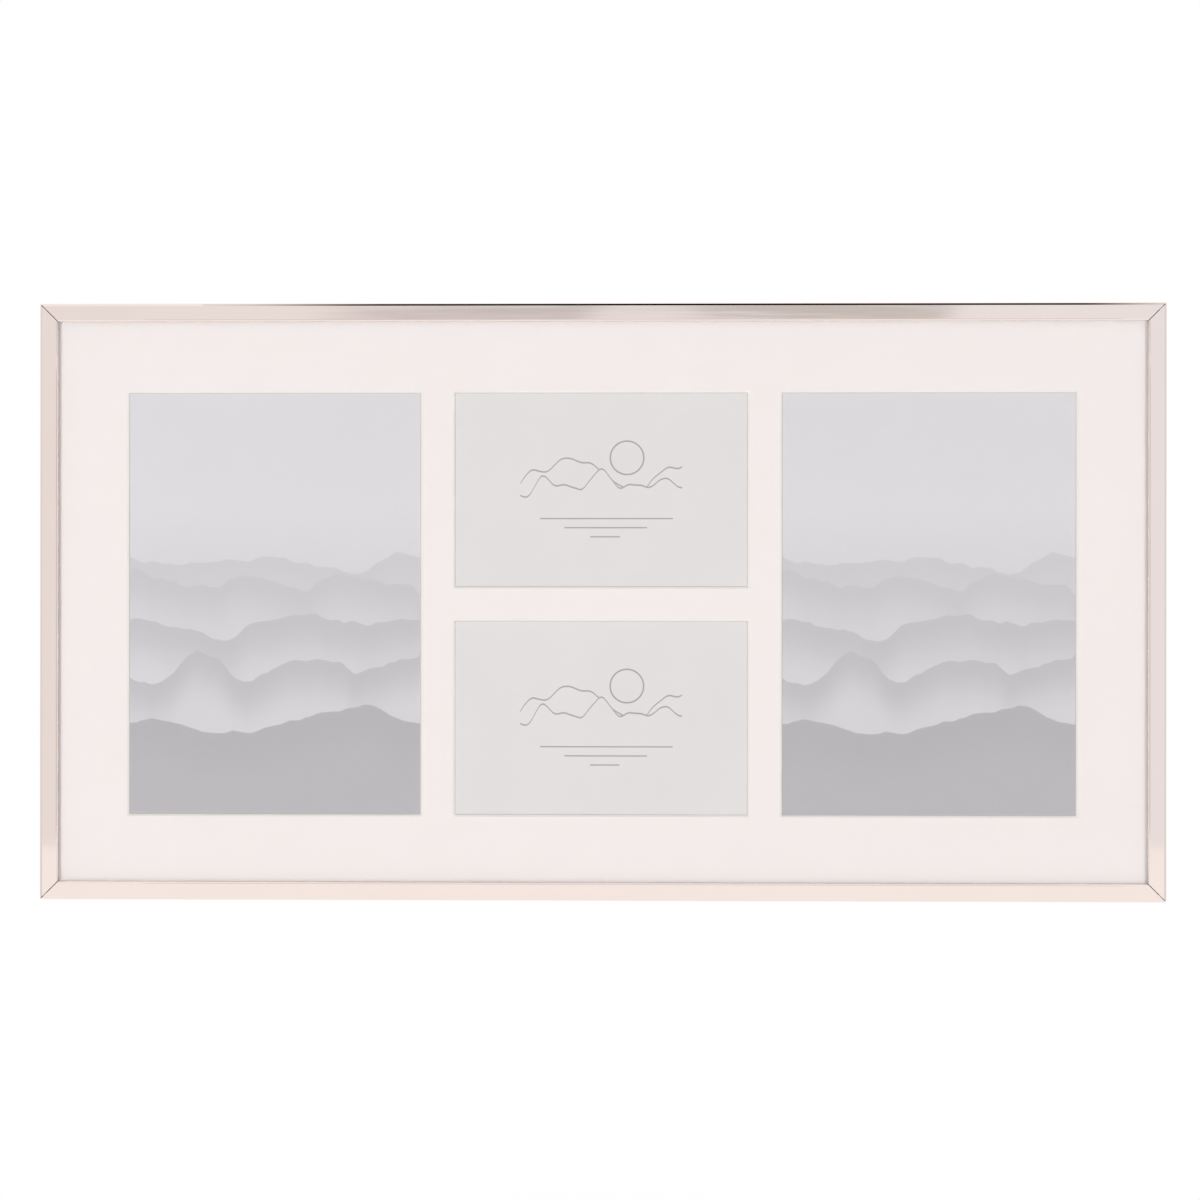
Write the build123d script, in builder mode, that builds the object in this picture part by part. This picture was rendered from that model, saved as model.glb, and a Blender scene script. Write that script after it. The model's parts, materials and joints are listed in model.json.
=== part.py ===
# A collage photo frame: four mitred rails of rolled metal round a package of glass,
# bevel-cut mat, four inserts and a hardboard back, held in by swivel clips.
# Millimetres. X runs along the length, Z up, and the front faces -Y.
# The origin is the middle of the frame, so the front face lies at Y = -frame_depth / 2.

from math import asin, degrees, sqrt
import os

from build123d import *

os.makedirs("parts", exist_ok=True)

# Inserts: standard print sizes, and how far the mat laps over their edges
print_width = 127.0
tall_print_height = 178.0
wide_print_height = 89.0
print_lap_side = 2.55
tall_print_lap = 1.0
wide_print_lap = 4.2
print_thickness = 0.25

# Mat
mat_thickness = 1.0
mat_side_border = 29.75  # rail to window, left and right
mat_end_border = 29.1  # rail to window, top and bottom, on average
mat_bar = 14.8  # between neighbouring windows
window_drop = 0.8  # all windows sit this much below the middle

# Rails, rolled from one strip
sheet = 0.6
bend_inside = 0.5
rail_face = 7.6  # width of the front face, rounded edges included
frame_depth = 14.0
lip_depth = 1.0  # inner edge of the face, turned back against the glass
lip_bend = 0.8  # outer radius of that edge
hem_pocket = 1.9  # room between the outer wall and the turned-in rear hem
hem_depth = 3.5
mitre_gap = 0.35  # joint between two rails, open by this much

# Package
glass_thickness = 1.6
glass_arris = 0.2
board_thickness = 3.0
layer_gap = 0.05  # between one layer and the next
package_play = 0.3  # package edge to the hem, so that it lifts out
board_corner = 1.0

# Corner keys and their grub screws
key_thickness = 1.5
key_leg = 24.0
key_play = 0.1
key_bend_inside = 0.5
key_nose = 0.6  # chamfer at the leg ends
grub_diameter = 3.0
grub_length = 2.6
grub_socket = 1.5  # across flats
grub_socket_depth = 1.2
grub_reach_share = 0.62  # of the leg, from the corner

# Swivel clips
clip_sheet = 0.5
clip_length = 18.0  # pivot to tip
clip_eye_radius = 5.0
clip_tip_radius = 3.6
clip_tail = 8.5  # pivot to the end of the finger tab
clip_tab_lift = 2.6
clip_bend_inside = 1.1
clip_play = 0.1
clip_tip_share = 0.5  # of the hem pocket, where the tip ends
clip_flat = 5.0  # flat tip that bears on the hem
long_side_clip_shares = (-0.64, 0, 0.64)  # of half the frame's length
short_side_clip_shares = (0,)

# Rivets through the back board
rivet_diameter = 3.0
rivet_head_diameter = 6.0
rivet_head_rim = 0.4
rivet_crown = 0.6  # above the rim
rivet_crown_slope = 60  # degrees from the rivet's axis
rivet_tail_diameter = 5.0
rivet_tail_height = 0.7
rivet_play = 0.05

# Flat sides that stand for a circle on the smallest round pieces
round_sides = 16
wire_sides = 8

# Hangers
strap_sheet = 0.8
strap_width = 10.0
strap_length = 21.0  # ring bar to the far end
strap_rivet_place = 9.0  # ring bar to the rivet
strap_neck = 5.0  # ring bar to where the two layers lie together
strap_bend_inside = 1.2
strap_fold_gap = 0.1
ring_wire = 2.0
ring_play = 0.08
ring_width = 21.0  # over the wire centres
ring_reach = 15.0  # bar centre to the far wire's centre
ring_corner = 2.4
ring_round_share = 0.97  # far corners, of half the width
ring_rest_gap = 0.2
hanger_drop = 10.0  # top rail's hem to the ring when it points up
hanger_share = 0.45  # of half the frame's length

# Tape that holds the inserts to the mat
tape_width = 14.0
tape_lap = 5.5  # on the insert
tape_hold = 3.5  # on the mat
tape_thickness = 0.1
tape_step = 0.3  # run of the step
tape_place_shares = (-0.6, 0.6)  # of half an insert's width

# The windows follow from the prints, and the frame follows from the windows
window_width = print_width - 2 * print_lap_side
tall_window_height = tall_print_height - 2 * tall_print_lap
wide_window_height = wide_print_height - 2 * wide_print_lap
sight_width = 3 * window_width + 2 * mat_bar + 2 * mat_side_border
sight_height = tall_window_height + 2 * mat_end_border
frame_width = sight_width + 2 * rail_face
frame_height = sight_height + 2 * rail_face
half_width = frame_width / 2
half_height = frame_height / 2

# Depths, counted back from the front face
bend = sheet + bend_inside
hem_width = 2 * sheet + hem_pocket
front = -frame_depth / 2
glass_front = front + lip_depth + layer_gap
mat_front = glass_front + glass_thickness + layer_gap
print_front = mat_front + mat_thickness + layer_gap
tape_front = print_front + print_thickness + layer_gap
board_front = tape_front + tape_thickness + layer_gap
board_back = board_front + board_thickness
hem_front = frame_depth / 2 - hem_depth

# The package is one size throughout
package_edge = hem_width + package_play
package_width = frame_width - 2 * package_edge
package_height = frame_height - 2 * package_edge

to_rear = Vector(0, 1, 0)

# Windows, by the insert behind each: its middle in X and Z, its height, the insert's height
side_step = window_width + mat_bar
middle_step = (wide_window_height + mat_bar) / 2
windows = {
    "print_left": (-side_step, -window_drop, tall_window_height, tall_print_height),
    "print_right": (side_step, -window_drop, tall_window_height, tall_print_height),
    "print_middle_top": (0, middle_step - window_drop, wide_window_height, wide_print_height),
    "print_middle_bottom": (0, -middle_step - window_drop, wide_window_height, wide_print_height),
}

# Corners, by the side and the level each is on
corners = {
    "top_left": (-1, 1),
    "top_right": (1, 1),
    "bottom_left": (-1, -1),
    "bottom_right": (1, -1),
}


def save(part, name):
    part.part.label = name
    export_step(part.part, f"parts/{name}.step")


def back_plane(x, depth, z):
    """Plane that faces the rear at a depth, with its own X to the left of the frame."""
    return Plane(origin=(x, depth, z), x_dir=(-1, 0, 0), z_dir=(0, 1, 0))


def bent_strip(points, radius, thickness):
    """Outline of a bent strip: its skin runs along the points, its thickness lies to the left."""
    with BuildSketch() as strip:
        with BuildLine():
            FilletPolyline(*points, radius=radius)
            offset(amount=thickness, side=Side.LEFT)
        make_face()
    return strip.sketch


def make_rail(name, middle, inward, length):
    """One rail, rolled at its middle and cut at 45 degrees at both ends."""
    along = inward.cross(to_rear)
    rail_skin = (
        (hem_width, frame_depth - hem_depth),
        (hem_width, frame_depth),
        (0, frame_depth),
        (0, 0),
        (rail_face, 0),
        (rail_face, lip_depth),
    )
    section = bent_strip(rail_skin, (bend, bend, bend, lip_bend), sheet)
    with BuildPart() as rail:
        with BuildSketch(Plane(origin=middle, x_dir=inward, z_dir=along)):
            add(section)
        extrude(amount=length / 2, both=True)
        for end in (-1, 1):
            outward = (inward + along * end).normalized()
            corner = middle + along * end * length / 2
            cut = Plane(origin=corner - outward * mitre_gap / 2, z_dir=outward)
            split(bisect_by=cut, keep=Keep.BOTTOM)
    save(rail, name)


def make_corner_key(name, side, level):
    """A strip bent round the corner, on edge between the face and the rear flange."""
    inset = sheet + key_play
    x = side * (half_width - inset)
    z = level * (half_height - inset)
    width = frame_depth - 2 * bend  # clear of the rail's bends
    with BuildPart() as key:
        key_skin = ((x - side * key_leg, z), (x, z), (x, z - level * key_leg))
        with BuildSketch(Plane.XZ):
            with BuildLine():
                FilletPolyline(*key_skin, radius=key_bend_inside + key_thickness)
                inward = Side.RIGHT if side * level > 0 else Side.LEFT
                offset(amount=key_thickness, side=inward)
            make_face()
        extrude(amount=width / 2, both=True)
        leg_ends = (
            key.faces().filter_by(Axis.X).sort_by(Axis((0, 0, 0), (-side, 0, 0)))[-1],
            key.faces().filter_by(Axis.Z).sort_by(Axis((0, 0, 0), (0, 0, -level)))[-1],
        )
        chamfer([end.edges().filter_by(Axis.Y) for end in leg_ends], length=key_nose)
        for plane in grub_planes(side, level):
            with BuildSketch(plane):
                RegularPolygon(grub_diameter / 2 + key_play, round_sides, major_radius=False)
            extrude(amount=key_thickness + 2 * key_play, mode=Mode.SUBTRACT)
    save(key, name)


def grub_planes(side, level):
    """Planes on the outer walls' inner faces, facing inwards, one for each leg of a key."""
    reach = key_leg * grub_reach_share
    x = side * (half_width - sheet)
    z = level * (half_height - sheet)
    return (
        Plane(origin=(x - side * reach, 0, z), x_dir=(1, 0, 0), z_dir=(0, 0, -level)),
        Plane(origin=(x, 0, z - level * reach), x_dir=(0, 0, 1), z_dir=(-side, 0, 0)),
    )


def clip_places():
    """Pivot, outward direction and name of each swivel clip."""
    pivot_inset = sheet + hem_pocket * clip_tip_share + clip_length
    names = {-1: "left", 0: "middle", 1: "right"}
    places = []
    for level, edge in ((1, "top"), (-1, "bottom")):
        for share in long_side_clip_shares:
            side = (share > 0) - (share < 0)
            pivot = (share * half_width, level * (half_height - pivot_inset))
            places.append((pivot, (0, level), f"clip_{edge}_{names[side]}"))
    for side in (-1, 1):
        for share in short_side_clip_shares:
            pivot = (side * (half_width - pivot_inset), share * half_height)
            places.append((pivot, (side, 0), f"clip_{names[side]}"))
    return places


def make_clip(name, pivot, outward):
    """A spring leaf: eye on the board, arm rising to a flat tip in front of the hem, finger tab."""
    x, z = pivot
    away = Vector(outward[0], 0, outward[1])
    origin = Vector(x, board_back, z)
    arm_rise = hem_front - board_back - clip_sheet - clip_play
    arm_end = clip_length - clip_flat
    clip_skin = (
        (-clip_tail, clip_tab_lift),
        (-clip_eye_radius, 0),
        (clip_eye_radius, 0),
        (arm_end, arm_rise),
        (clip_length, arm_rise),
    )
    profile = bent_strip(clip_skin, clip_bend_inside + clip_sheet, clip_sheet)
    with BuildPart() as clip:
        with BuildSketch(Plane(origin=origin, x_dir=away, z_dir=away.cross(to_rear))):
            add(profile)
        extrude(amount=clip_eye_radius, both=True)
        with BuildSketch(Plane(origin=origin, x_dir=away, z_dir=to_rear)):
            with BuildLine():
                flank = clip_eye_radius - clip_tip_radius
                span = clip_length - clip_tip_radius
                lean = degrees(asin(flank / span))
                eye = CenterArc((0, 0), clip_eye_radius, 90 - lean, 90 + lean)
                tip = CenterArc((span, 0), clip_tip_radius, -90 + lean, 180 - 2 * lean)
                Line(eye @ 0, tip @ 1)
                under = CenterArc((0, 0), clip_eye_radius, 180, 90 + lean)
                Line(under @ 1, tip @ 0)
            make_face()
            with Locations((-clip_tail / 2, 0)):
                Rectangle(clip_tail, 2 * clip_tip_radius)
        extrude(amount=hem_front - board_back + clip_tab_lift, mode=Mode.INTERSECT)
        with BuildSketch(back_plane(x, board_back, z)):
            RegularPolygon(rivet_diameter / 2 + clip_play, round_sides, major_radius=False)
        extrude(amount=clip_sheet, mode=Mode.SUBTRACT)
    save(clip, name)


def make_rivets(name, places, grip):
    """A group of separate rivets: flat tail in the board, shank, crowned head."""
    low = board_front + layer_gap
    seat = board_back + grip
    steps = (
        (low, rivet_tail_height, rivet_tail_diameter, 0),
        (low, seat - low, rivet_diameter, 0),
        (seat, rivet_head_rim, rivet_head_diameter, 0),
        (seat + rivet_head_rim, rivet_crown, rivet_head_diameter, rivet_crown_slope),
    )
    with BuildPart() as rivets:
        for x, z in places:
            for depth, height, diameter, slope in steps:
                with BuildSketch(back_plane(x, depth, z)):
                    RegularPolygon(diameter / 2, round_sides)
                extrude(amount=height, taper=slope)
    save(rivets, name)


# Heights above the board's back that strap and ring share
strap_bore = ring_wire / 2 + ring_play
bar_height = strap_sheet + strap_bore
strap_top = 2 * strap_sheet + strap_fold_gap
ring_bar_z = half_height - hem_width - hanger_drop - ring_reach - ring_wire / 2

# The ring lies over the strap at rest, tilted so that its wire clears it
ring_half = ring_width / 2
ring_round = ring_half * ring_round_share
ring_cross = ring_reach - ring_round + sqrt(ring_round**2 - (strap_width / 2) ** 2)
ring_tilt = degrees(asin((strap_top + ring_wire / 2 + ring_rest_gap - bar_height) / ring_cross))


def make_strap(name, x):
    """One strip folded round the ring's bar, its two layers lying together below."""
    middle = strap_sheet / 2
    upper = strap_sheet + strap_fold_gap + middle
    plane = Plane(origin=(x, board_back, ring_bar_z), x_dir=(0, 0, -1), z_dir=(1, 0, 0))
    with BuildPart() as strap:
        with BuildSketch(plane):
            with BuildLine():
                under = Line((strap_length, middle), (0, middle))
                loop = JernArc(under @ 1, under % 1, strap_bore + middle, -180)
                FilletPolyline(
                    loop @ 1,
                    (strap_bore, middle + 2 * (strap_bore + middle)),
                    (strap_neck, upper),
                    (strap_length, upper),
                    radius=strap_bend_inside + middle,
                )
            trace(line_width=strap_sheet)
        extrude(amount=strap_width / 2, both=True)
        far_edges = strap.faces().sort_by(Axis.Z)[:2].edges().filter_by(Axis.Y)
        fillet(far_edges, radius=strap_width / 4)
        with BuildSketch(back_plane(x, board_back, ring_bar_z - strap_rivet_place)):
            RegularPolygon(rivet_diameter / 2 + rivet_play, round_sides, major_radius=False)
        extrude(amount=strap_top, mode=Mode.SUBTRACT)
    save(strap, name)


def make_ring(name, x):
    """A D-shaped wire ring hinged on its own straight bar."""
    flat = Plane(origin=(x, board_back + bar_height, ring_bar_z), x_dir=(1, 0, 0), z_dir=(0, 1, 0))
    lying = flat.rotated((ring_tilt, 0, 0))
    with BuildPart() as ring:
        with BuildLine(lying) as wire:
            FilletPolyline(
                (-ring_half, 0),
                (ring_half, 0),
                (ring_half, ring_reach),
                (-ring_half, ring_reach),
                radius=[ring_corner, ring_corner, ring_round, ring_round],
                close=True,
            )
        start = wire.edges().sort_by(SortBy.LENGTH)[0]
        with BuildSketch(Plane(origin=start @ 0, z_dir=start % 0)):
            RegularPolygon(ring_wire / 2, wire_sides)
        sweep(path=wire.wires()[0])
    save(ring, name)


make_rail("rail_top", Vector(0, front, half_height), Vector(0, 0, -1), frame_width)
make_rail("rail_bottom", Vector(0, front, -half_height), Vector(0, 0, 1), frame_width)
make_rail("rail_left", Vector(-half_width, front, 0), Vector(1, 0, 0), frame_height)
make_rail("rail_right", Vector(half_width, front, 0), Vector(-1, 0, 0), frame_height)
for place, (side, level) in corners.items():
    make_corner_key(f"corner_key_{place}", side, level)

# Grub screws: threaded through the keys, their points on the outer walls
with BuildPart() as grubs:
    for side, level in corners.values():
        for plane in grub_planes(side, level):
            with BuildSketch(plane):
                RegularPolygon(grub_diameter / 2, round_sides)
            extrude(amount=grub_length)
            with BuildSketch(plane.offset(grub_length)):
                RegularPolygon(grub_socket / 2, 6, major_radius=False)
            extrude(amount=-grub_socket_depth, mode=Mode.SUBTRACT)
save(grubs, "corner_key_screws")

# Glass, with its arrises taken off
with BuildPart() as glass:
    with BuildSketch(Plane.XZ.offset(-glass_front)):
        Rectangle(package_width, package_height)
    extrude(amount=-glass_thickness)
    chamfer(glass.edges(), length=glass_arris)
save(glass, "glass_pane")

# Mat: each window is cut at 45 degrees, wider at the front
with BuildPart() as mat:
    with BuildSketch(Plane.XZ.offset(-mat_front)):
        Rectangle(package_width, package_height)
    extrude(amount=-mat_thickness)
    for x, z, height, _ in windows.values():
        with BuildSketch(Plane.XZ.offset(-mat_front - mat_thickness)):
            with Locations((x, z)):
                Rectangle(window_width, height)
        extrude(amount=mat_thickness, taper=-45, mode=Mode.SUBTRACT)
save(mat, "mat_board")

# Inserts lie on the back of the mat
for name, (x, z, _, height) in windows.items():
    with BuildPart() as insert:
        with BuildSketch(Plane.XZ.offset(-print_front)):
            with Locations((x, z)):
                Rectangle(print_width, height)
        extrude(amount=-print_thickness)
    save(insert, name)

# Tape: two strips at the top of each insert, stepping down from it to the mat
with BuildSketch() as tape_profile:
    with BuildLine():
        Polyline(
            (-tape_lap, tape_front),
            (layer_gap, tape_front),
            (layer_gap + tape_step, print_front),
            (tape_hold, print_front),
        )
        offset(amount=tape_thickness, side=Side.LEFT, kind=Kind.INTERSECTION)
    make_face()
with BuildPart() as tapes:
    for x, z, _, height in windows.values():
        for share in tape_place_shares:
            edge = Vector(x + share * print_width / 2, 0, z + height / 2)
            with BuildSketch(Plane(origin=edge, x_dir=(0, 0, 1), z_dir=(-1, 0, 0))):
                add(tape_profile.sketch)
            extrude(amount=tape_width / 2, both=True)
save(tapes, "print_tapes")

clips = clip_places()
pivots = [pivot for pivot, _, _ in clips]
hanger_places = [(side * hanger_share * half_width, ring_bar_z) for side in (-1, 1)]
strap_rivets = [(x, z - strap_rivet_place) for x, z in hanger_places]

# Back board, with a stepped hole for each rivet and its tail
with BuildPart() as board:
    with BuildSketch(Plane.XZ.offset(-board_front)):
        RectangleRounded(package_width, package_height, board_corner)
    extrude(amount=-board_thickness)
    for x, z in pivots + strap_rivets:
        for diameter, depth in (
            (rivet_diameter, board_thickness),
            (rivet_tail_diameter, rivet_tail_height + 2 * layer_gap),
        ):
            with BuildSketch(back_plane(x, board_front, z)):
                RegularPolygon(diameter / 2 + rivet_play, round_sides, major_radius=False)
            extrude(amount=depth, mode=Mode.SUBTRACT)
save(board, "back_board")

for pivot, outward, name in clips:
    make_clip(name, pivot, outward)
make_rivets("clip_rivets", pivots, clip_sheet + clip_play)

for (x, _), side in zip(hanger_places, ("left", "right")):
    make_strap(f"hanger_strap_{side}", x)
    make_ring(f"hanger_ring_{side}", x)
make_rivets("hanger_rivets", strap_rivets, strap_top)
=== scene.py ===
"""Collage photo frame, dressed: plated rails, glass, a bevel-cut mat, inserts printed with misty
hills and line drawings, and a hardboard back with its clips and hangers.

Metres, in the frame of the solids: X runs along the length, Z up, and the front faces -Y.
"""

import json
import math
import bpy
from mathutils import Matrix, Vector

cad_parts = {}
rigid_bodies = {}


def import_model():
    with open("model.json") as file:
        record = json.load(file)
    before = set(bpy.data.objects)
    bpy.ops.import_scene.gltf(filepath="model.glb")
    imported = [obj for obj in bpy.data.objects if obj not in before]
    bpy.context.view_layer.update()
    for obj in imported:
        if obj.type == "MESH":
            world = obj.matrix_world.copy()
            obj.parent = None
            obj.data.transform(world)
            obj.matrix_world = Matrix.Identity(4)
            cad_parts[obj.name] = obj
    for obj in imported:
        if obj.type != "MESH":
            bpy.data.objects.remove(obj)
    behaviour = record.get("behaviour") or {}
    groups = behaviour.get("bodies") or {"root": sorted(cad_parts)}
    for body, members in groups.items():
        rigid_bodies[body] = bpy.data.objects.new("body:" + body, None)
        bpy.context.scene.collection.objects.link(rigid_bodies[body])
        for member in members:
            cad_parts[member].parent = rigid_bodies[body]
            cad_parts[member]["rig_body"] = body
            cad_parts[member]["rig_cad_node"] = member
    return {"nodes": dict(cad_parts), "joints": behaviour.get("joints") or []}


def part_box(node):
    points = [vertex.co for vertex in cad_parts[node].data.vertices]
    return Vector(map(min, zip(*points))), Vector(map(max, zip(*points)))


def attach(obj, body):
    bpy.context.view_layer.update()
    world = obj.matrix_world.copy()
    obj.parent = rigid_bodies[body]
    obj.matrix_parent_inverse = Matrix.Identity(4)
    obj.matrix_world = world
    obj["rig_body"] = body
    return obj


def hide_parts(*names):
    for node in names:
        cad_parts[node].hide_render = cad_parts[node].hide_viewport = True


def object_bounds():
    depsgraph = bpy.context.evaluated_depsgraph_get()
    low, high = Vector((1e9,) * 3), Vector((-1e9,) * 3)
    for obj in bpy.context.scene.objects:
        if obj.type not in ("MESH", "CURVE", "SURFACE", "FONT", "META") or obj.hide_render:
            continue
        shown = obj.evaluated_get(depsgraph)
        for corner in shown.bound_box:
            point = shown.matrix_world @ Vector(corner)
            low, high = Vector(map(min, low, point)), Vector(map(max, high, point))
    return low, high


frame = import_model()
cad_low, cad_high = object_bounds()
nodes = frame["nodes"]
mm = 0.001
origin = (0, 0, 0)
white = (1.0, 1.0, 1.0)
quarter_turn = math.radians(90)

# The camera looks at the front face almost straight on, with a slight turn and roll
lens = 85.0
sensor = 36.0
view_width = 0.5003  # of the picture, at the front face
camera_distance = view_width * lens / sensor
camera_turn = math.radians(1.2)
camera_roll = math.radians(-0.045)
target = Vector((-0.0004, cad_low.y, 0.0008))

camera_data = bpy.data.cameras.new("camera")
camera_data.lens, camera_data.sensor_width = lens, sensor
camera = bpy.data.objects.new("camera", camera_data)
bpy.context.collection.objects.link(camera)
sideways, backwards = math.sin(camera_turn), -math.cos(camera_turn)
camera.location = target + camera_distance * Vector((sideways, backwards, 0))
camera.rotation_euler = (quarter_turn, camera_roll, camera_turn)
bpy.context.scene.camera = camera


class Sum:
    """A socket of numbers in a node tree, on which arithmetic adds Math nodes."""

    def __init__(self, finish, socket):
        self.finish, self.socket = finish, socket

    def maths(self, operation, other=None):
        values = {0: self} if other is None else {0: self, 1: other}
        return self.finish.node("ShaderNodeMath", {"operation": operation}, values)

    def __add__(self, other):
        return self.maths("ADD", other)

    def __sub__(self, other):
        return self.maths("SUBTRACT", other)

    def __mul__(self, other):
        return self.maths("MULTIPLY", other)

    def __pow__(self, other):
        return self.maths("POWER", other)

    def __abs__(self):
        return self.maths("ABSOLUTE")

    def __lt__(self, other):
        return self.maths("LESS_THAN", other)

    def __gt__(self, other):
        return self.maths("GREATER_THAN", other)

    def most(self, other):
        return self.maths("MAXIMUM", other)


class Finish:
    """A material, or the world, and the nodes that make it."""

    def __init__(self, holder):
        holder.use_nodes = True
        self.holder, self.tree = holder, holder.node_tree
        self.tree.nodes.clear()

    def node(self, kind, settings=None, sockets=None, out=0):
        """Adds a node, its settings first, then its sockets, and returns one of its outputs."""
        made = self.tree.nodes.new(kind)
        for name, value in (settings or {}).items():
            if name == "stops":
                ramp = made.color_ramp
                while len(ramp.elements) < len(value):
                    ramp.elements.new(1.0)
                for element, (place, colour) in zip(ramp.elements, value):
                    element.position, element.color = place, (*colour, 1.0)
            else:
                setattr(made, name, value)
        for name, value in (sockets or {}).items():
            socket = made.inputs[name]
            if isinstance(value, Sum):
                self.tree.links.new(value.socket, socket)
            elif isinstance(value, bpy.types.NodeSocket):
                self.tree.links.new(value, socket)
            elif socket.type == "RGBA" and len(value) == 3:
                socket.default_value = (*value, 1.0)
            else:
                socket.default_value = value
        found = made.outputs[out]
        return Sum(self, found) if found.type == "VALUE" else found

    def vector_maths(self, operation, first, second):
        return self.node(
            "ShaderNodeVectorMath", {"operation": operation}, {0: first, 1: second}
        )

    def place(self, centre=origin, stretch=(1, 1, 1)):
        """Object coordinates, seen from a centre and scaled along each axis."""
        start = self.node("ShaderNodeTexCoord", out="Object")
        return self.vector_maths(
            "MULTIPLY", self.vector_maths("SUBTRACT", start, centre), stretch
        )

    def normal(self):
        """Which way the surface faces, before any bump."""
        return self.node("ShaderNodeTexCoord", out="Normal")

    def axis(self, vector, letter):
        return self.node("ShaderNodeSeparateXYZ", {}, {0: vector}, out="XYZ".index(letter))

    def noise(self, vector, scale, detail, rough):
        """Noise from 0 to 1 that averages a half."""
        sockets = {"Vector": vector, "Scale": scale, "Detail": detail, "Roughness": rough}
        return self.node("ShaderNodeTexNoise", {}, sockets, out="Fac")

    def skyline(self, across, size, number, seed, detail, rough):
        """Height of a ridge along a line, from the size and number of its peaks."""
        line = self.node(
            "ShaderNodeTexNoise",
            {"noise_dimensions": "1D"},
            {"W": across * number + seed, "Scale": 1.0, "Detail": detail, "Roughness": rough},
            out="Fac",
        )
        return (line - 0.5) * (size * 4)

    def ramp(self, value, *stops):
        """Colour that follows a value from stop to stop."""
        return self.node("ShaderNodeValToRGB", {"stops": stops}, {"Fac": value}, out="Color")

    def steps(self, value, span, levels=(0.0, 1.0)):
        """Number that eases from one level to the other as a value goes across a span."""
        return self.node(
            "ShaderNodeMapRange",
            {"interpolation_type": "SMOOTHSTEP"},
            {
                "Value": value,
                "From Min": span[0],
                "From Max": span[1],
                "To Min": levels[0],
                "To Max": levels[1],
            },
            out="Result",
        )

    def window(self, value, rise, fall):
        """Number that eases from 0 to 1 across one span and back to 0 across another."""
        return self.steps(value, rise) * self.steps(value, fall, (1.0, 0.0))

    def mix(self, share, first, second):
        """Blend of two colours."""
        sockets = {0: share, 6: first, 7: second}
        return self.node("ShaderNodeMix", {"data_type": "RGBA"}, sockets, out=2)

    def bump(self, height, distance):
        sockets = {"Height": height, "Distance": distance, "Strength": 1.0}
        return self.node("ShaderNodeBump", {}, sockets)

    def rays(self, *kinds):
        """1 for rays of any of these kinds, 0 for all others."""
        found = self.node("ShaderNodeLightPath", out=f"Is {kinds[0]} Ray")
        outputs = found.socket.node.outputs
        for kind in kinds[1:]:
            found = found.most(Sum(self, outputs[f"Is {kind} Ray"]))
        return found

    def principled(self, **sockets):
        named = {
            name.replace("_", " ").title().replace("Ior", "IOR"): value
            for name, value in sockets.items()
        }
        return self.node("ShaderNodeBsdfPrincipled", {}, named)

    def glow(self, colour):
        return self.node("ShaderNodeEmission", {}, {"Color": colour, "Strength": 1.0})

    def see_through(self):
        return self.node("ShaderNodeBsdfTransparent", {}, {"Color": white})

    def blend(self, share, first, second):
        """The first shader where the share is 0, the second where it is 1."""
        return self.node("ShaderNodeMixShader", {}, {0: share, 1: first, 2: second})

    def surface(self, shader, kind="ShaderNodeOutputMaterial"):
        output = self.tree.nodes.new(kind)
        self.tree.links.new(shader, output.inputs["Surface"])
        return self.holder


def new_finish(name):
    return Finish(bpy.data.materials.new(name))


def plated_metal(name, long_axis):
    """Rose-tinted mirror plating, rippled along the rail as rolled strip is."""
    f = new_finish(name)
    rolled_stretch = 0.055
    stretch = [1.0, 1.0, 1.0]
    stretch["XYZ".index(long_axis)] = rolled_stretch
    lengthwise = f.place(stretch=stretch)
    ripple = f.noise(lengthwise, scale=460.0, detail=1.0, rough=0.4)
    swell = f.noise(f.place(), scale=14.0, detail=1.0, rough=0.4)
    cloud = f.noise(f.place(), scale=30.0, detail=3.0, rough=0.55)
    colour = f.mix(cloud, (0.900, 0.780, 0.724), (0.922, 0.802, 0.744))
    satin = f.noise(lengthwise, scale=900.0, detail=3.0, rough=0.6)
    # The cut ends stand at 45 degrees, where the product of the two parts is a half
    sawn = abs(f.axis(f.normal(), "X") * f.axis(f.normal(), "Z")) > 0.3
    # Painted shade: the sawn ends are near black, so that the mitre gap between the rails reads
    # dark
    sawn_painted_shade, sawn_roughness = (0.035, 0.032, 0.030), 0.35
    return f.surface(
        f.principled(
            base_color=f.mix(sawn, colour, sawn_painted_shade),
            metallic=1.0,
            roughness=f.steps(satin, (0.3, 0.8), (0.03, 0.055)) + sawn * sawn_roughness,
            normal=f.bump(ripple * 0.005 + swell * 0.09, mm),
        )
    )


def clear_glass():
    """Float glass. Light for what lies behind goes through unbent."""
    f = new_finish("glass")
    glass = f.principled(
        base_color=(0.985, 0.995, 0.99), roughness=0.0, ior=1.5, transmission_weight=1.0
    )
    return f.surface(f.blend(f.rays("Shadow", "Diffuse"), glass, f.see_through()))


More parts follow.
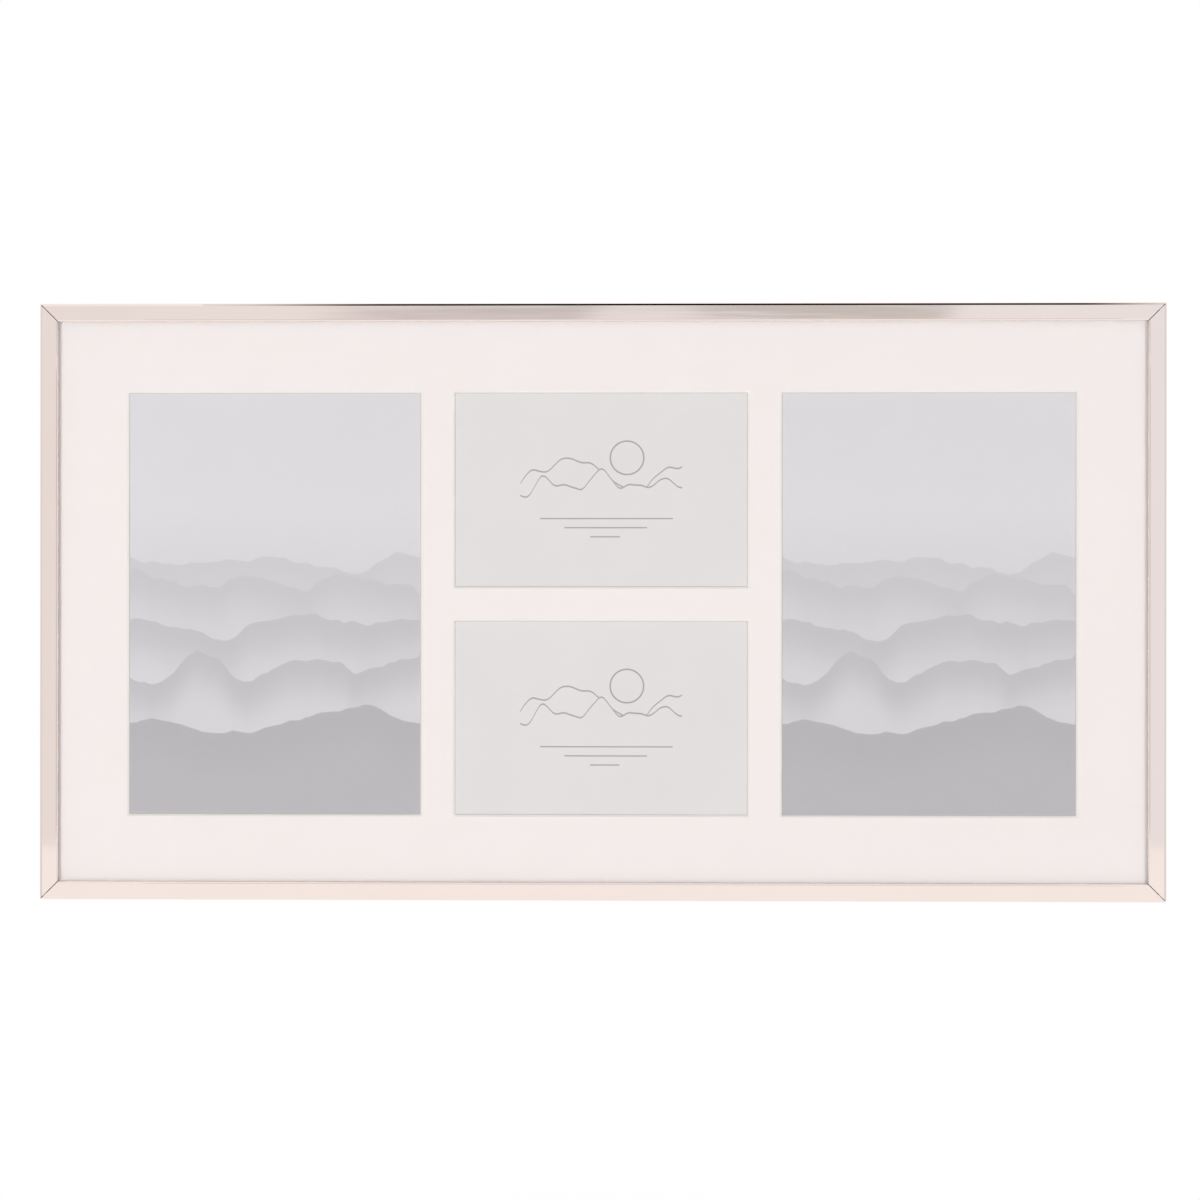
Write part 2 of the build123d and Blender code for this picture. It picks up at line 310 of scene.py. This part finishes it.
def mat_card():
    """White mat card with a fine tooth, and the pale core that the bevel cut bares."""
    f = new_finish("mat_card")
    facing = abs(f.axis(f.normal(), "Y"))
    core = (facing < 0.95) * (facing > 0.3)
    tooth = f.noise(f.place(), scale=2600.0, detail=4.0, rough=0.65)
    cloud = f.noise(f.place(), scale=40.0, detail=2.0, rough=0.5)
    face = f.mix(cloud, (0.944, 0.858, 0.842), (0.964, 0.878, 0.864))
    fibres = f.noise(f.place(), scale=5200.0, detail=2.0, rough=0.6)
    bare = f.mix(fibres, (0.945, 0.890, 0.850), (0.975, 0.930, 0.895))
    depth = f.axis(f.place((0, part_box("mat_board")[1].y, 0)), "Y")
    # Painted shadow line: the bevel's rear edge, next to the insert, is painted grey
    wear_and_painted_shade = f.steps(depth, (-0.34 * mm, -0.22 * mm))
    bare = f.mix(wear_and_painted_shade, bare, (0.62, 0.575, 0.545))
    return f.surface(
        f.principled(
            base_color=f.mix(core, face, bare),
            roughness=f.steps(tooth, (0.2, 0.8), (0.86, 0.96)),
            normal=f.bump(tooth + core * fibres, 0.02 * mm),
        )
    )


cool_tint = (1.5, -3.0, 2.0)
warm_tint = (4.0, -2.0, -2.0)


def printed(level, tint=cool_tint):
    """A printed grey, given as the level from 0 to 255 that a screen shows, and its tint."""
    shown = [(level + shift) / 255 for shift in tint]
    return tuple(v / 12.92 if v <= 0.04045 else ((v + 0.055) / 1.055) ** 2.4 for v in shown)


def paper_tooth(f, colour):
    grain = f.noise(f.place(), scale=1800.0, detail=3.0, rough=0.6)
    return f.surface(
        f.principled(
            base_color=colour,
            roughness=f.steps(grain, (0.2, 0.8), (0.5, 0.6)),
            normal=f.bump(grain, 0.008 * mm),
        )
    )


def misty_hills(name, centre, width, height):
    """Printed insert: five ridges, each fading into mist below, under a pale sky."""
    f = new_finish(name)
    flat = f.place(centre, (1 / width, 0, 1 / width))
    across, up = f.axis(flat, "X"), f.axis(flat, "Z")
    sky_stops = ((0.0, 192), (0.40, 208), (0.72, 221), (1.0, 219))
    colour = f.ramp(
        up * (width / height) + 0.5, *((stop, printed(level)) for stop, level in sky_stops)
    )
    ridges = (
        # level of the ridge, size of its peaks, their number, seed, print grey, mist grey
        (0.155, 0.085, 2.1, 3.0, 203, 213),
        (0.075, 0.075, 2.9, 11.0, 198, 213),
        (-0.050, 0.080, 2.3, 23.0, 192, 214),
        (-0.210, 0.070, 3.1, 37.0, 188, 212),
        (-0.400, 0.080, 2.0, 51.0, 174, 179),
    )
    edge_width, mist_share = 0.004, 2.6
    for level, size, number, seed, near, far in ridges:
        depth = f.skyline(across, size, number, seed, detail=5.0, rough=0.42) + level - up
        haze = f.steps(depth, (0.0, size * mist_share))
        hill = f.mix(haze, printed(near), printed(far))
        colour = f.mix(f.steps(depth, (0.0, edge_width)), colour, hill)
    dots = f.noise(f.place(), scale=2400.0, detail=2.0, rough=0.7)
    ink = f.steps(dots, (0.35, 0.65), (0.0, 0.05))
    return paper_tooth(f, f.mix(ink, colour, printed(120)))


def line_hills(name, centre, width):
    """Printed insert: two ridges, a low sun and water, drawn in thin grey lines."""
    f = new_finish(name)
    flat = f.place(centre, (1 / width, 0, 1 / width))
    across, up = f.axis(flat, "X"), f.axis(flat, "Z")
    cloud = f.noise(f.place(), scale=26.0, detail=2.0, rough=0.5)
    colour = f.mix(cloud, printed(221, warm_tint), printed(226, warm_tint))
    hill_line, water_line = 0.0026, 0.0022  # half the width of each line

    def ridge(level, size, number, seed):
        return up - level - f.skyline(across, size, number, seed, detail=1.5, rough=0.35)

    def stroke(distance, half=hill_line):
        return f.steps(abs(distance), (half * 0.7, half * 1.3), (1.0, 0.0))

    near = ridge(level=0.015, size=0.075, number=6.0, seed=19.3)
    far = ridge(level=0.060, size=0.095, number=5.0, seed=5.0)
    inside = f.steps(abs(across), (0.265, 0.268), (1.0, 0.0))
    sun_x, sun_z, sun_radius = 0.085, 0.105, 0.055
    from_sun = ((across - sun_x) ** 2.0 + (up - sun_z) ** 2.0) ** 0.5
    drawn = stroke(near).most(stroke(far) * (near > 0)) * inside
    drawn = drawn.most(stroke(from_sun - sun_radius) * (near > 0) * (far > 0))
    end_width = 0.002
    waters = ((-0.095, -0.20, 0.235), (-0.125, -0.12, 0.15), (-0.155, -0.035, 0.06))
    for level, left, right in waters:
        middle, half = (left + right) / 2, (right - left) / 2
        reach = f.steps(abs(across - middle), (half, half + end_width), (1.0, 0.0))
        drawn = drawn.most(stroke(up - level, water_line) * reach)
    ink_share = 0.75
    return paper_tooth(f, f.mix(drawn * ink_share, colour, printed(126)))


def hardboard():
    """Brown pressed fibre, with its smooth side to the rear and its edges darker."""
    f = new_finish("hardboard")
    fibres = f.noise(f.place(stretch=(1, 1, 1.6)), scale=1100.0, detail=5.0, rough=0.68)
    flecks = f.noise(f.place(stretch=(1, 1, 1.9)), scale=420.0, detail=4.0, rough=0.7)
    cloud = f.noise(f.place(), scale=9.0, detail=3.0, rough=0.6)
    colour = f.mix(fibres, (0.150, 0.078, 0.040), (0.335, 0.200, 0.115))
    for share, tone in (
        (f.steps(flecks, (0.56, 0.66), (0.0, 0.30)), (0.400, 0.262, 0.160)),
        (f.steps(flecks, (0.30, 0.40), (0.32, 0.0)), (0.095, 0.052, 0.030)),
        (f.steps(cloud, (0.3, 0.7), (0.0, 0.28)), (0.205, 0.118, 0.066)),
        ((abs(f.axis(f.normal(), "Y")) < 0.5) * 0.5, (0.090, 0.050, 0.028)),
    ):
        colour = f.mix(share, colour, tone)
    return f.surface(
        f.principled(
            base_color=colour,
            roughness=f.steps(fibres, (0.3, 0.7), (0.5, 0.72)),
            normal=f.bump(fibres + flecks * 0.6, 0.05 * mm),
        )
    )


def bare_metal(name, colour, worn, rough, grain):
    """Plated or bare steel: rolled grain, clouded plating and worn spots."""
    f = new_finish(name)
    clouded_share, rubbed_share, rough_range = 0.82, 0.6, 0.16
    lines = f.noise(f.place(stretch=(1, 1, 7)), scale=grain, detail=3.0, rough=0.6)
    cloud = f.noise(f.place(), scale=120.0, detail=4.0, rough=0.6)
    spots = f.noise(f.place(), scale=380.0, detail=5.0, rough=0.7)
    wear_and_painted_shade = f.steps(spots, (0.52, 0.68)) * rubbed_share
    plating = f.mix(cloud, colour, [level * clouded_share for level in colour])
    return f.surface(
        f.principled(
            base_color=f.mix(wear_and_painted_shade, plating, worn),
            metallic=1.0,
            roughness=f.steps(lines + cloud * 0.6, (0.5, 1.1), (rough, rough + rough_range)),
            normal=f.bump(lines, 0.012 * mm),
        )
    )


def paper_tape():
    """Creped cream tape."""
    f = new_finish("paper_tape")
    crepe = f.noise(f.place(stretch=(0.25, 1, 1)), scale=2200.0, detail=3.0, rough=0.6)
    fibre = f.noise(f.place(), scale=700.0, detail=3.0, rough=0.6)
    return f.surface(
        f.principled(
            base_color=f.mix(fibre, (0.70, 0.60, 0.42), (0.80, 0.71, 0.53)),
            roughness=f.steps(crepe, (0.3, 0.7), (0.62, 0.8)),
            normal=f.bump(crepe, 0.05 * mm),
        )
    )


def wear(names, material):
    for name in names:
        nodes[name].material_slots[0].material = material


wear(("rail_top", "rail_bottom"), plated_metal("plated_rail_long", "X"))
wear(("rail_left", "rail_right"), plated_metal("plated_rail_short", "Z"))
wear(("glass_pane",), clear_glass())
wear(("mat_board",), mat_card())
for name in ("print_left", "print_right"):
    low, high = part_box(name)
    size = high - low
    wear((name,), misty_hills(f"hills_{name}", (low + high) / 2, size.x, size.z))
for name in ("print_middle_top", "print_middle_bottom"):
    low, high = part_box(name)
    wear((name,), line_hills(f"lines_{name}", (low + high) / 2, high.x - low.x))
wear(("print_tapes",), paper_tape())
wear(("back_board",), hardboard())
bright_aluminium = bare_metal(
    "bright_aluminium", (0.80, 0.80, 0.81), (0.88, 0.88, 0.88), rough=0.2, grain=800.0
)
zinc = bare_metal("zinc_plate", (0.60, 0.61, 0.63), (0.72, 0.72, 0.73), rough=0.24, grain=700.0)
nickel = bare_metal(
    "nickel_plate", (0.66, 0.63, 0.58), (0.74, 0.72, 0.68), rough=0.16, grain=900.0
)
spring = bare_metal(
    "spring_steel", (0.46, 0.47, 0.49), (0.62, 0.62, 0.63), rough=0.22, grain=1100.0
)
black_steel = bare_metal(
    "black_steel", (0.11, 0.11, 0.12), (0.34, 0.34, 0.35), rough=0.34, grain=900.0
)
wear([n for n in nodes if n.startswith("corner_key_") and n != "corner_key_screws"], zinc)
wear(("corner_key_screws",), black_steel)

# Pieces at the back, modelled anew in finer form
back_of_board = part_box("back_board")[1].y
pivots = {joint["child"]: Vector(joint["pos_m"]) for joint in frame["joints"]}
smooth_angle = math.radians(35)
turned_sides = 48


def choose(*pieces):
    """Selects these pieces alone, the first of them active."""
    bpy.ops.object.select_all(action="DESELECT")
    for piece in pieces:
        piece.select_set(True)
    bpy.context.view_layer.objects.active = pieces[0]


def edit(piece):
    """Opens a piece with all of its mesh selected."""
    choose(piece)
    bpy.ops.object.mode_set(mode="EDIT")
    bpy.ops.mesh.select_all(action="SELECT")


def start_circle(**settings):
    """A new circle, with its turn and place in its mesh, open to be drawn out."""
    bpy.ops.object.select_all(action="DESELECT")
    bpy.ops.mesh.primitive_circle_add(**settings)
    piece = bpy.context.active_object
    settle()
    edit(piece)
    return piece


def settle():
    """Moves the turn and place of the piece in hand into its mesh."""
    bpy.ops.object.transform_apply(location=True, rotation=True, scale=True)


def close_up():
    """Turns all faces of the open piece outwards and ends the drawing."""
    bpy.ops.mesh.normals_make_consistent(inside=False)
    bpy.ops.object.mode_set(mode="OBJECT")


def hand_over(piece, name, node, body, material):
    """Names a finished piece, gives it its material, hangs it on what it moves with and hides its
    solid.
    """
    piece.name = piece.data.name = name
    piece.data.materials.clear()
    piece.data.materials.append(material)
    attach(piece, body)
    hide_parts(node)


def turned(profile, x, z):
    """A round piece along Y, from its radius at each height over the board's back, in mm."""
    radius, height = profile[0]
    piece = start_circle(
        vertices=turned_sides,
        radius=radius * mm,
        fill_type="NGON",
        rotation=(quarter_turn, 0, 0),
        location=(x, back_of_board + height * mm, z),
    )
    for next_radius, next_height in profile[1:]:
        rise = (0, (next_height - height) * mm, 0)
        bpy.ops.mesh.extrude_region_move(TRANSFORM_OT_translate={"value": rise})
        share = next_radius / radius
        bpy.ops.transform.resize(value=(share, 1, share), center_override=(x, 0, z))
        radius, height = next_radius, next_height
    bpy.ops.mesh.select_all(action="SELECT")
    close_up()
    bpy.ops.object.shade_smooth_by_angle(angle=smooth_angle)
    return piece


# Rivets in mm: radius and height over the board's back, and for the head over what it bears on
shank_radius = 1.5
rivet_tail = [(2.5, -2.95), (2.5, -2.25), (shank_radius, -2.25)]
rivet_head = [
    (2.8, 0), (3.0, 0.1), (3.0, 0.34), (2.9, 0.45), (2.6, 0.6),
    (2.15, 0.76), (1.6, 0.88), (0.95, 0.96), (0.35, 0.99),
]


def rivets(node, places, seat):
    """Rivets with sunk tails and low domed heads, which bear on a seat over the board, in mm."""
    head = [(radius, seat + height) for radius, height in rivet_head]
    profile = rivet_tail + [(shank_radius, seat)] + head
    made = [turned(profile, x, z) for x, z in places]
    choose(*made)
    bpy.ops.object.join()
    hand_over(made[0], f"{node}_turned", node, "frame", bright_aluminium)


# Rings, along the middle of their wire
ring_half = 10.5 * mm
ring_reach = 15.0 * mm
ring_corner = 2.4 * mm
ring_far_corner = 10.185 * mm
ring_wire_radius = 0.99 * mm
ring_wire_sides = 20
ring_corner_steps, ring_far_steps = 8, 20
ring_weld = 0.01 * mm  # closes the wire on itself
ring_tilt = math.radians(4.27)


def ring(side):
    """A hanger ring: one wire, closed in its bar, with tight near corners and a round far end."""
    node = f"hanger_ring_{side}"
    piece = start_circle(
        vertices=ring_wire_sides, radius=ring_wire_radius, rotation=(0, quarter_turn, 0)
    )

    def run(x, z):
        bpy.ops.mesh.extrude_region_move(TRANSFORM_OT_translate={"value": (x, 0, z)})

    def turn(x, z, steps):
        bpy.ops.mesh.spin(steps=steps, angle=quarter_turn, center=(x, 0, z), axis=(0, -1, 0))

    near_x, far_x = ring_half - ring_corner, ring_half - ring_far_corner
    far_z = ring_far_corner - ring_reach
    side_run = ring_reach - ring_corner - ring_far_corner
    run(near_x, 0)
    turn(near_x, -ring_corner, ring_corner_steps)
    run(0, -side_run)
    turn(far_x, far_z, ring_far_steps)
    run(-2 * far_x, 0)
    turn(-far_x, far_z, ring_far_steps)
    run(0, side_run)
    turn(-near_x, -ring_corner, ring_corner_steps)
    run(near_x, 0)
    bpy.ops.mesh.select_all(action="SELECT")
    bpy.ops.mesh.remove_doubles(threshold=ring_weld)
    close_up()
    bpy.ops.object.shade_smooth()
    piece.rotation_euler = (ring_tilt, 0, 0)
    piece.location = pivots[node]
    settle()
    hand_over(piece, f"{node}_wire", node, node, nickel)


# Pressed strips: their solid's triangles are joined up again, then its sharp edges are rolled
strip_weld = 0.002 * mm
flat_angle = math.radians(1)
rolled_width, rolled_steps = 0.1 * mm, 3
sharp_angle = math.radians(40)


def eased(node, body, material):
    """A copy of a pressed strip, with the sharp edges of its blank rolled over."""
    choose(nodes[node])
    bpy.ops.object.duplicate()
    piece = bpy.context.active_object
    bpy.ops.object.parent_clear(type="CLEAR")
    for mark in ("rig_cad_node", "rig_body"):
        if mark in piece:
            del piece[mark]
    edit(piece)
    bpy.ops.mesh.remove_doubles(threshold=strip_weld)
    bpy.ops.mesh.dissolve_limited(angle_limit=flat_angle)
    bpy.ops.object.mode_set(mode="OBJECT")
    bpy.ops.mesh.customdata_custom_splitnormals_clear()
    bpy.ops.object.modifier_add(type="BEVEL")
    bevel = piece.modifiers[-1]
    bevel.width, bevel.segments = rolled_width, rolled_steps
    bevel.limit_method, bevel.angle_limit = "ANGLE", sharp_angle
    bpy.ops.object.modifier_apply(modifier=bevel.name)
    bpy.ops.object.shade_smooth_by_angle(angle=smooth_angle)
    hand_over(piece, f"{node}_pressed", node, body, material)


clips = [n for n in nodes if n.startswith("clip_") and n != "clip_rivets"]
clip_seat, strap_seat = 0.6, 1.7  # over the board's back, in mm
strap_rivet_drop = 9 * mm  # from the ring's bar
for clip in clips:
    eased(clip, clip, spring)
rivets("clip_rivets", [pivots[clip].xz for clip in clips], clip_seat)
for side in ("left", "right"):
    eased(f"hanger_strap_{side}", "frame", nickel)
    ring(side)
ring_pivots = [pivots[f"hanger_ring_{side}"] for side in ("left", "right")]
strap_rivet_places = [(pivot.x, pivot.z - strap_rivet_drop) for pivot in ring_pivots]
rivets("hanger_rivets", strap_rivet_places, strap_seat)

# Studio: the world is white to the camera and in what metal and glass show, and dimmer as a light
world = bpy.data.worlds.new("studio")
bpy.context.scene.world = world
sky = Finish(world)
light_strength, seen_strength = 0.36, 1.0
dim, bright = (
    sky.node("ShaderNodeBackground", {}, {"Color": white, "Strength": strength})
    for strength in (light_strength, seen_strength)
)
sky_seen = sky.rays("Camera", "Glossy", "Transmission")
sky.surface(sky.blend(sky_seen, dim, bright), "ShaderNodeOutputWorld")


def turn_to(piece, aim, axis):
    piece.rotation_euler = (Vector(aim) - piece.location).to_track_quat(axis, "Y").to_euler()


def lamp(name, place, size, watts):
    """A soft lamp that shines on the frame and that the metal doesn't mirror."""
    data = bpy.data.lights.new(name, "AREA")
    data.shape, data.size, data.energy = "DISK", size, watts
    made = bpy.data.objects.new(name, data)
    bpy.context.collection.objects.link(made)
    made.location = place
    turn_to(made, origin, "-Z")
    made.visible_glossy = False


# Those in front stand so wide that the glass doesn't mirror them
lamp("lamp_front_left", (-1.25, -2.1, -0.08), size=0.7, watts=19.0)
lamp("lamp_front_right", (1.35, -2.1, -0.08), size=0.7, watts=16.0)
lamp("lamp_rear_left", (-1.2, 2.0, 1.2), size=1.1, watts=18.0)
lamp("lamp_rear_right", (1.3, 2.0, 0.8), size=1.1, watts=15.0)


def stage_plane(name, centre, aim, width, height, material, mirrored_only=True):
    """A sheet of the stage that faces a place, and may show only where it is mirrored."""
    bpy.ops.object.select_all(action="DESELECT")
    bpy.ops.mesh.primitive_plane_add(size=1.0)
    plane = bpy.context.active_object
    plane.name = plane.data.name = name
    plane.scale = (width, height, 1)
    plane.location = centre
    turn_to(plane, aim, "Z")
    settle()
    plane.data.materials.append(material)
    if mirrored_only:
        plane.visible_camera = plane.visible_diffuse = plane.visible_shadow = False
        plane.visible_transmission = False


def floor_paint():
    """Pale floor that keeps the shadow near the frame and runs out to white."""
    f = new_finish("floor_paint")
    flat = f.place(stretch=(1, 1, 0))
    away = f.node("ShaderNodeVectorMath", {"operation": "LENGTH"}, {0: flat}, out="Value")
    runs_out = (0.45, 1.0)
    seen = f.rays("Camera", "Transmission") * f.steps(away, runs_out)
    matt = f.principled(base_color=(0.86, 0.86, 0.86), roughness=0.9)
    return f.surface(f.blend(seen.most(f.rays("Glossy")), matt, f.glow(white)))


def card_paint(name, level):
    """Plain card for the satin metal alone: the glass, which mirrors sharply, looks through."""
    f = new_finish(name)
    shade = level(f) if callable(level) else level
    return f.surface(f.blend(f.rays("Singular"), f.glow(shade), f.see_through()))


def room_above(f):
    """What the top rail mirrors: pale at both ends, browner and streaked along its middle."""
    place = f.place()
    across, up = f.axis(place, "X"), f.axis(place, "Z")
    slant_start, slant = 0.24, -0.9
    lean = across + (up - slant_start) * slant
    streaks = f.noise(f.place(stretch=(4.0, 1.0, 120.0)), scale=1.0, detail=2.0, rough=0.6)
    middle = f.window(lean, (-0.300, -0.180), (0.255, 0.285))
    patch = f.window(lean, (-0.060, -0.015), (0.015, 0.075))
    smudge = f.window(lean, (0.150, 0.235), (0.238, 0.275))
    depth = f.steps(streaks, (0.40, 0.60), (0.16, 0.57)) - patch * 0.34 + smudge * 0.05
    pale = f.mix(f.steps(across, (-0.4, 0.4)), (0.885, 0.888, 0.905), (0.888, 0.915, 0.945))
    return f.mix(middle * depth, pale, (0.375, 0.345, 0.33))


def brow(f):
    """The dark line in the top rail's rounded edge, which fades out towards both ends."""
    dark = f.window(f.axis(f.place(), "X"), (-0.17, -0.09), (0.20, 0.245))
    return f.mix(dark, (0.85, 0.83, 0.82), (0.005, 0.005, 0.005))


floor_level, floor_size = -0.45, 24
floor_centre, straight_up = (0, 0, floor_level), (0, 0, 10)
stage_plane(
    "floor", floor_centre, straight_up, floor_size, floor_size, floor_paint(), mirrored_only=False
)

# Cards round the camera that only the metal shows. The flat faces look past the grey one at the
# camera, and the rounded edges draw it out into thin lines.
behind = -1.25
side_x, side_z = 0.54, 0.06
for name, x, z, width, height, level in (
    ("card_camera", 0, 0, 0.84, 0.40, (0.62, 0.61, 0.60)),
    ("card_left", -side_x, side_z, 0.22, 0.54, (0.872, 0.868, 0.875)),
    ("card_right", side_x, side_z, 0.22, 0.54, (0.885, 0.91, 0.94)),
    ("card_top", 0, 0.28, 1.28, 0.14, room_above),
):
    stage_plane(name, (x, behind, z), (x, 0, z), width, height, card_paint(name, level))

# A strip close over the top rail's front edge
brow_centre, brow_aim = (0.035, -0.0233, 0.1375), (0.035, -0.0133, 0.1121)
brow_length, brow_width = 0.41, 0.0393
brow_paint = card_paint("card_brow", brow)
stage_plane("card_brow", brow_centre, brow_aim, brow_length, brow_width, brow_paint)

# Tall cards at both sides, for the outer walls of the side rails
beside = card_paint("card_beside", (0.80, 0.80, 0.80))
beside_x, beside_y = 0.80, -0.1
beside_width, beside_height = 2.3, 0.9
for name, x in (("card_beside_left", -beside_x), ("card_beside_right", beside_x)):
    centre, aim = (x, beside_y, side_z), (0, beside_y, side_z)
    stage_plane(name, centre, aim, beside_width, beside_height, beside)

scene = bpy.context.scene
scene.view_settings.view_transform = "Standard"
